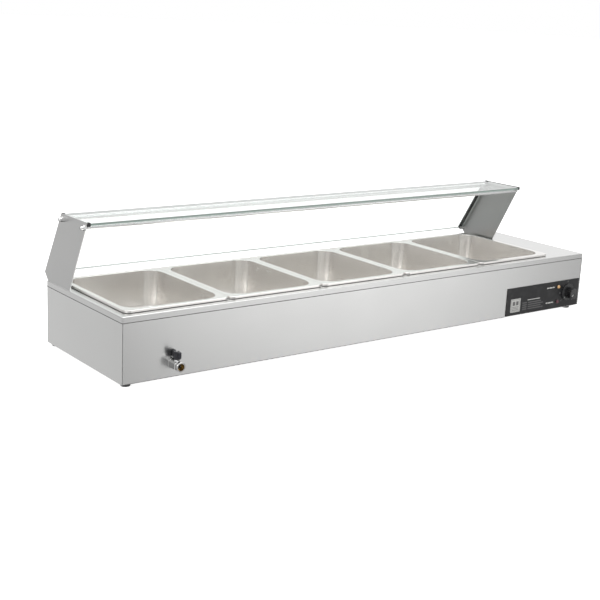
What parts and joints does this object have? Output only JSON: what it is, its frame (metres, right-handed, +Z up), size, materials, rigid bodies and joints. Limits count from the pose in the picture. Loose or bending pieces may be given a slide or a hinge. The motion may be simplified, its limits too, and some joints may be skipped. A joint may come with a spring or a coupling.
{
  "type": "countertop steam table",
  "caption": "Long countertop steam table with a row of steel food pans in a heated water well, a glass sneeze guard, drain valve and heat knob.",
  "frame": {"origin": "centre of the whole footprint (casing, drain valve, guard nuts and bundled cord) at counter level", "axes": "+X to the operator's right along the casing, +Y towards the customers' side, +Z up"},
  "size_m": [1.4854, 0.4576, 0.3294],
  "materials": {
    "casing_steel": "fine horizontal brushing",
    "deck_steel": "fine brushed, bright edges",
    "pan_steel": "satin, bright rim",
    "guard_steel": "fine brushed",
    "fastener_steel": "plain bright",
    "chrome_plate": "polished",
    "clear_glass": "clear, green edge",
    "black_rubber": "matt",
    "black_plastic": "fine grained",
    "panel_black": "satin black",
    "amber_lens": "translucent amber",
    "red_lens": "translucent red",
    "seal_white": "plain",
    "brass": "turned",
    "heater_steel": "heat-tinted",
    "cord_black": "smooth"
  },
  "bodies": {
    "unit": {"base_plate": "casing_steel", "body_shell": "casing_steel", "bracket_screws": "fastener_steel", "cable_gland": "black_plastic", "capillary_gland": "brass", "control_panel": "panel_black", "cord_tie": "black_plastic", "drain_fitting": "fastener_steel", "drain_gasket": "black_rubber", "drain_lock_nut": "fastener_steel", "earth_stud": "brass", "element_clips": "fastener_steel", "element_gaskets": "black_rubber", "element_nuts": "fastener_steel", "foot_screws": "fastener_steel", "front_panel": "casing_steel", "front_tie_rod": "guard_steel", "gland_nut": "fastener_steel", "glass_corner_pads": "black_rubber", "guard_bracket_left": "guard_steel", "guard_bracket_right": "guard_steel", "guard_cap_nuts": "chrome_plate", "heating_element": "heater_steel", "heating_lamp": "red_lens", "hex_nuts": "fastener_steel", "lamp_bezels": "chrome_plate", "lamp_nuts": "fastener_steel", "limit_thermostat": "heater_steel", "plug_body": "cord_black", "plug_pins": "brass", "power_cord": "cord_black", "power_lamp": "amber_lens", "rear_glass": "clear_glass", "rear_glass_strips": "black_rubber", "rear_tie_rod": "guard_steel", "rubber_feet": "black_rubber", "sheet_screws": "fastener_steel", "stem_packing": "seal_white", "terminal_block": "seal_white", "thermostat_body": "black_plastic", "thermostat_bulb": "heater_steel", "thermostat_screws": "fastener_steel", "top_deck": "deck_steel", "top_glass": "clear_glass", "valve_body": "chrome_plate", "valve_outlet": "chrome_plate", "valve_seats": "seal_white", "water_tank": "deck_steel", "wiring": "cord_black"},
    "pan_1": {"pan_1": "pan_steel"},
    "pan_2": {"pan_2": "pan_steel"},
    "pan_3": {"pan_3": "pan_steel"},
    "pan_4": {"pan_4": "pan_steel"},
    "pan_5": {"pan_5": "pan_steel"},
    "drain_valve": {"valve_ball": "chrome_plate", "valve_stem": "brass", "valve_handle": "black_plastic", "handle_screw": "fastener_steel"},
    "knob": {"control_knob": "black_plastic", "knob_shaft": "brass"}
  },
  "joints": [
    {"name": "knob_turn", "type": "hinge", "parent": "unit", "child": "knob", "pos_m": [0.68975, -0.193, 0.05], "axis": [0, 1, 0], "range_deg": [0, 270]},
    {"name": "valve_turn", "type": "hinge", "parent": "unit", "child": "drain_valve", "pos_m": [-0.60425, -0.2085, 0.038], "axis": [0, 0, 1], "range_deg": [0, 90]},
    {"name": "pan_1_lift", "type": "slide", "parent": "unit", "child": "pan_1", "axis": [0, 0, 1], "range_m": [0, 0.035]},
    {"name": "pan_2_lift", "type": "slide", "parent": "unit", "child": "pan_2", "axis": [0, 0, 1], "range_m": [0, 0.035]},
    {"name": "pan_3_lift", "type": "slide", "parent": "unit", "child": "pan_3", "axis": [0, 0, 1], "range_m": [0, 0.035]},
    {"name": "pan_4_lift", "type": "slide", "parent": "unit", "child": "pan_4", "axis": [0, 0, 1], "range_m": [0, 0.035]},
    {"name": "pan_5_lift", "type": "slide", "parent": "unit", "child": "pan_5", "axis": [0, 0, 1], "range_m": [0, 0.035]}
  ]
}
